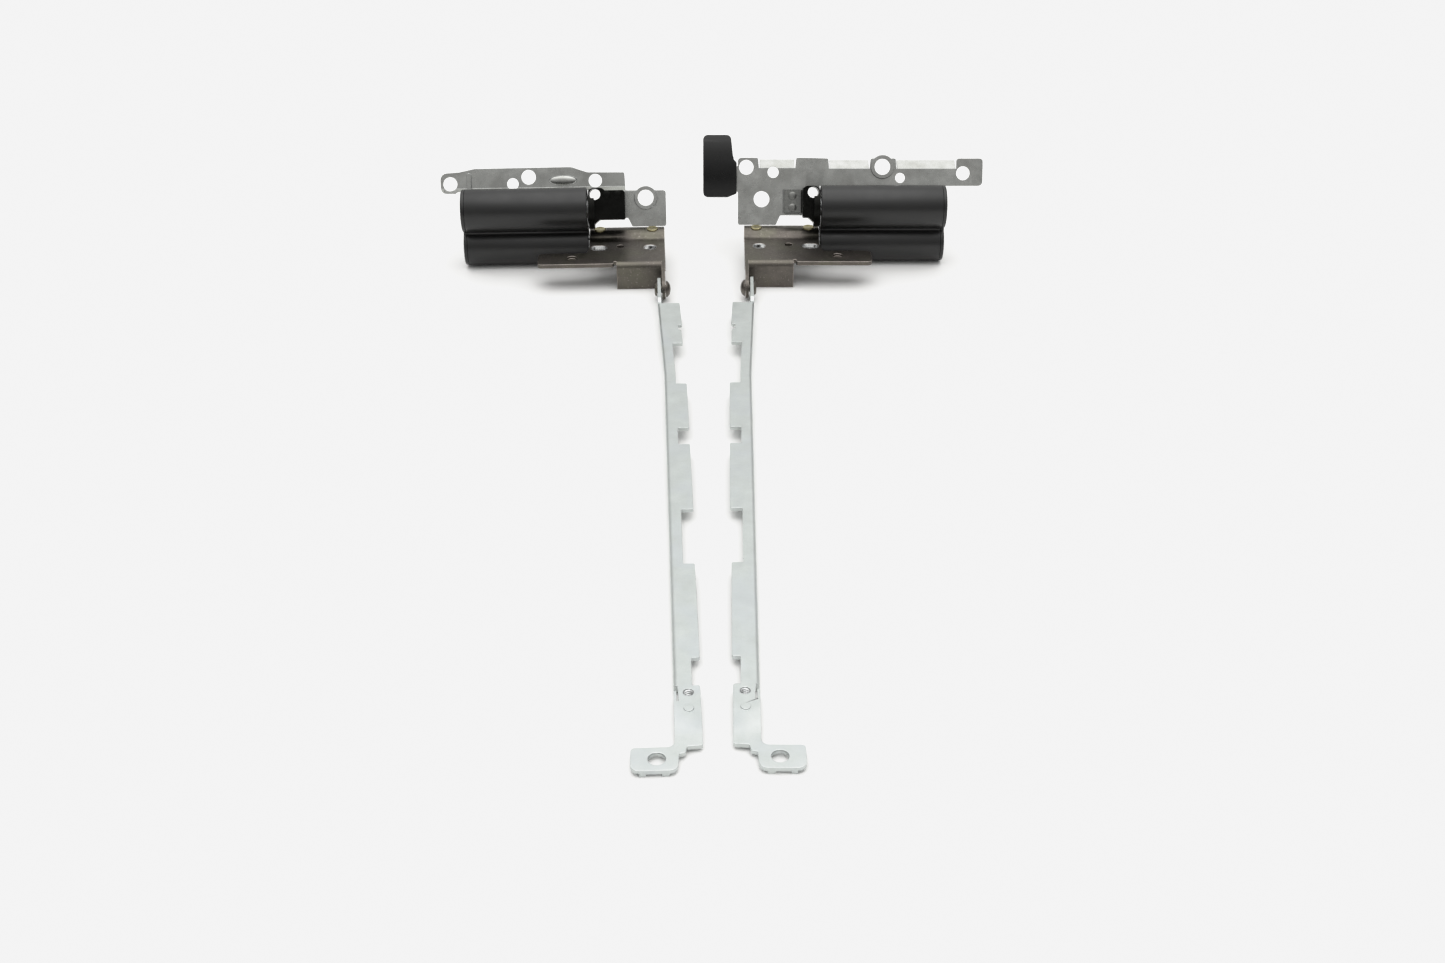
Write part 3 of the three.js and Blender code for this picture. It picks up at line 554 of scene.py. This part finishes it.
def make_cap(side):
    """The plug in the end of the shell: a rounded rim around a shallow dished face."""
    barrel_piece(side, "end_cap", CAP_STATIONS, "barrel_end_cap", capped=True)


def turned_piece(name, side, body, slot, axis, centre, profile):
    """A turned piece about a line along one axis of the body's frame; it replaces node name."""
    place = PLACES[side][body]
    bm = bmesh.new()
    first, second = {"X": ("Y", "Z"), "Y": ("X", "Z"), "Z": ("X", "Y")}[axis]

    def vert(radius, height, angle):
        spot = {axis: height, first: centre[0] + radius * math.cos(angle),
                second: centre[1] + radius * math.sin(angle)}
        return bm.verts.new(place(spot["X"], spot["Y"], spot["Z"]))

    rings = [[vert(radius, height, math.tau * k / TURN_STEPS) for k in range(TURN_STEPS)]
             for radius, height in profile]
    loft(bm, rings, capped=True)
    piece(f"{name}_turned", f"{side}_{body}", slot, bm, (name,), TURNED_SHARP_FROM)


def make_rivets(side):
    """Clenched rivet heads, finer than the CAD's; those on the curled sheet are let in flush."""
    for i, x in enumerate(SHAFT_RIVETS, 1):
        turned_piece(f"{side}_shaft_rivet_{i}", side, "display", "brass_rivet",
                     "Z", (x, 0), SHAFT_RIVET)
    dome = [(DOME_RADIUS * v, EAR_SEAT + DOME_HEIGHT * u)
            for u, v in arc(0, 0, 1, DOME_FROM, 90, 8)]
    turned_piece(f"{side}_arm_rivet", side, "display", "bronze_oxide",
                 "X", EAR_RIVET, (*dome, *ARM_RIVET_SHANK))
    front, spots = BASE_RIVETS[side]
    profile = [(radius, front + y) for radius, y in BASE_RIVET_FRONT]
    profile += [(radius, PLATE_BACK + y) for radius, y in BASE_RIVET_BACK]
    for i, spot in enumerate(spots, 1):
        turned_piece(f"{side}_base_rivet_{i}", side, "base", "black_oxide", "Y", spot, profile)


def make_slot_highlights(side):
    """A bright steel rim that lines each slot of the display bracket: a real pierced edge, made
    bright as a painted highlight that stands in for the lit table seen through the slots.
    """
    place = PLACES[side]["display"]
    for i, (x, length) in enumerate(DECK_SLOTS, 1):
        straight = (length - SLOT_WIDTH) / 2
        bm = bmesh.new()
        rings = []
        for inset, z in SLOT_RIM_SECTION:
            radius = SLOT_WIDTH / 2 - inset
            right = arc(x + straight, SLOT_LINE, radius, -90, 90, SLOT_END_STEPS)
            left = arc(x - straight, SLOT_LINE, radius, 90, 270, SLOT_END_STEPS)
            rings.append([bm.verts.new(place(u, v, z)) for u, v in right + left])
        loft(bm, rings, closed=True)
        piece(f"{side}_slot_highlight_{i}", f"{side}_display", "bright_steel", bm)


def make_thread(side):
    """The helical thread inside the burred hole near the foot."""
    place = PLACES[side]["display"]
    bm = bmesh.new()
    rings = []
    for k in range(THREAD_TURNS * THREAD_STEPS + 1):
        angle = math.tau * k / THREAD_STEPS
        rise = THREAD_BOTTOM + THREAD_PITCH * k / THREAD_STEPS
        rings.append([
            bm.verts.new(place(TAPPED_HOLE[0] + radius * math.cos(angle),
                               TAPPED_HOLE[1] + radius * math.sin(angle), rise + z))
            for radius, z in THREAD_SECTION
        ])
    loft(bm, rings, capped=True)
    piece(f"{side}_foot_thread", f"{side}_display", "bright_steel", bm)


def make_rubber_block():
    """The moulded block, with soft round edges and a front that bows back at both ends."""
    place = PLACES["right"]["base"]
    outline = [
        *arc(-9.7, 3.4, 1.1, 180, 270, 8), *arc(-5.0, 2.7, 0.4, 270, 300, 3),
        *arc(-3.3, 3.5, 0.5, 300, 360, 4), (-2.8, 10.3), (-3.15, 10.8), (-3.9, 11.4),
        (-4.1, 11.9), *arc(-5.2, 15.8, 1.1, 0, 90, 8), *arc(-9.7, 15.8, 1.1, 90, 180, 8),
    ]
    bm = bmesh.new()
    rings = [[bm.verts.new(place(x, y, z)) for x, z in outline]
             for y in (BLOCK_FRONT, BLOCK_BACK)]
    loft(bm, rings, capped=True)
    rims = [edge for face in bm.faces if len(face.verts) > 4 for edge in face.edges]
    bmesh.ops.bevel(bm, geom=rims, offset=BLOCK_ROUND * MM, segments=BLOCK_ROUND_STEPS,
                    profile=0.5, affect="EDGES", clamp_overlap=True)
    tall = BLOCK_TOP - BLOCK_BOTTOM
    for k in range(1, BLOCK_SLICES):
        bmesh.ops.bisect_plane(bm, geom=[*bm.verts, *bm.edges, *bm.faces],
                               plane_co=place(0, 0, BLOCK_BOTTOM + tall * k / BLOCK_SLICES),
                               plane_no=place.turn @ Vector((0, 0, 1)))
    for vert in bm.verts:
        x, y, z = place.inverse(vert.co)
        bow = BLOCK_BOW * ((2 * z - BLOCK_BOTTOM - BLOCK_TOP) / tall) ** 2
        vert.co = place(x, y + bow * max(0.0, BOW_FROM - y) / BOW_DEPTH, z)
    # The cuts leave their new vertices and faces in no fixed order
    for parts, middle in ((bm.verts, lambda vert: vert.co[:]),
                          (bm.faces, lambda face: face.calc_center_median()[:])):
        order = {part: i for i, part in enumerate(sorted(parts, key=middle))}
        parts.sort(key=order.get)
    piece("right_rubber_boot", "right_base", "black_rubber", bm, ("right_rubber_block",),
          RUBBER_SHARP_FROM)


for side in SIDES:
    make_cover(side)
    make_cap(side)
    make_rivets(side)
    make_slot_highlights(side)
    make_thread(side)
make_rubber_block()


def grind_tongue():
    """The right knuckle's tongue, in front of the bracket's recess, is bare like the bracket."""
    edge = PLACES["right"]["base"](KNUCKLE_TONGUE_END - 0.2, 0, 0).x
    material = part_ground("part ground oxide", OXIDE_BLACK, GROUND_GREY, edge, GROUND_ROUGHNESS)
    rivets = [bpy.data.objects[f"right_base_rivet_{i}_turned"] for i in (1, 2)]
    for obj in (frame["nodes"]["right_base_knuckle"], *rivets):
        for index in range(len(obj.data.materials)):
            obj.data.materials[index] = material


grind_tongue()


# ---- floor, light and camera ----

FLOOR_HALF = 6                        # metres
FLOOR_GAP = 0.00002
FLOOR_TONES = ((0.892, 0.890, 0.880), (0.900, 0.898, 0.888))
ROOM_DIRECTION = (0, 0.12, 1)
ROOM_LIGHT = (0.32, 1.25)             # level with the floor, and overhead
ROOM_COLOR = (1.0, 0.998, 0.993, 1)
PANEL_DIRECTION = (0.0, 0.02, 1.0)
PANEL_SPREAD = (0.72, 0.93)
PANEL_LIGHT = 1.45
SENSOR_WIDTH = 36
LENS = 40.953
CAMERA_FROM_MIDDLE = (0.00246, -0.28024)
CAMERA_HEIGHT = 0.16604
CAMERA_BELOW_LEVEL = 32.067           # degrees
FILM_SPOTS = ((0.6, 0.6), (0.85, 0.825), (1.1, 0.93))
FILM_END = (1.6, 0.955)
FILM_CLIP = 2.0


def make_floor():
    mesh = bpy.data.meshes.new("floor")
    bm = bmesh.new()
    bmesh.ops.create_grid(bm, x_segments=1, y_segments=1, size=FLOOR_HALF)
    bm.to_mesh(mesh)
    bm.free()
    floor = bpy.data.objects.new("floor", mesh)
    bpy.context.scene.collection.objects.link(floor)
    floor.location.z = cad_box[0].z - FLOOR_GAP
    s = Surface("white table", 0.0, 0.2)
    clouds = s.noise(6, 3)
    s.color(s.blend(s.span(clouds, 0, 1), *FLOOR_TONES))
    s.roughness(s.span(clouds, 0.55, 0.65))
    s.bumps((s.noise(2500, 2), 0.05, 1e-5))
    floor.data.materials.append(s.material)


def make_world():
    """A soft room: a wide bright panel overhead, dimmer walls, and a dark lower half."""
    world = bpy.data.worlds.new("studio")
    bpy.context.scene.world = world
    world.use_nodes = True
    tree = world.node_tree
    coords = tree.nodes.new("ShaderNodeTexCoord")

    def toward(direction):
        node = tree.nodes.new("ShaderNodeVectorMath")
        node.operation = "DOT_PRODUCT"
        tree.links.new(coords.outputs["Generated"], node.inputs[0])
        node.inputs[1].default_value = direction
        return node.outputs["Value"]

    def ramp(value, from_low, from_high, low, high):
        node = tree.nodes.new("ShaderNodeMapRange")
        node.interpolation_type = "SMOOTHSTEP"
        for name, number in (("From Min", from_low), ("From Max", from_high),
                             ("To Min", low), ("To Max", high)):
            node.inputs[name].default_value = number
        tree.links.new(value, node.inputs["Value"])
        return node.outputs["Result"]

    def total(first, second):
        node = tree.nodes.new("ShaderNodeMath")
        node.operation = "ADD"
        tree.links.new(first, node.inputs[0])
        tree.links.new(second, node.inputs[1])
        return node.outputs["Value"]

    room = ramp(toward(ROOM_DIRECTION), 0.0, 1.0, *ROOM_LIGHT)
    panel = ramp(toward(PANEL_DIRECTION), *PANEL_SPREAD, 0.0, PANEL_LIGHT)
    background = tree.nodes["Background"]
    background.inputs["Color"].default_value = ROOM_COLOR
    tree.links.new(total(room, panel), background.inputs["Strength"])


def make_camera():
    """The photograph's viewpoint, fitted to the holes and ends of both hinges."""
    data = bpy.data.cameras.new("camera")
    data.sensor_width = SENSOR_WIDTH
    data.lens = LENS
    data.clip_start = 0.01
    data.clip_end = 50
    camera = bpy.data.objects.new("camera", data)
    middle = (cad_box[0] + cad_box[1]) / 2
    camera.location = (middle.x + CAMERA_FROM_MIDDLE[0], middle.y + CAMERA_FROM_MIDDLE[1],
                       cad_box[0].z + CAMERA_HEIGHT)
    camera.rotation_euler = (math.radians(90 - CAMERA_BELOW_LEVEL), 0, 0)
    bpy.context.scene.collection.objects.link(camera)
    bpy.context.scene.camera = camera


def set_film():
    """A shoulder that holds the white table just below full white."""
    view = bpy.context.scene.view_settings
    view.view_transform = "Standard"
    view.use_curve_mapping = True
    mapping = view.curve_mapping
    mapping.clip_max_x = FILM_CLIP
    mapping.extend = "HORIZONTAL"
    curve = mapping.curves[3]
    curve.points[0].location = (0, 0)
    curve.points[1].location = FILM_END
    for spot in FILM_SPOTS:
        curve.points.new(*spot)
    mapping.update()


make_floor()
make_world()
make_camera()
set_film()
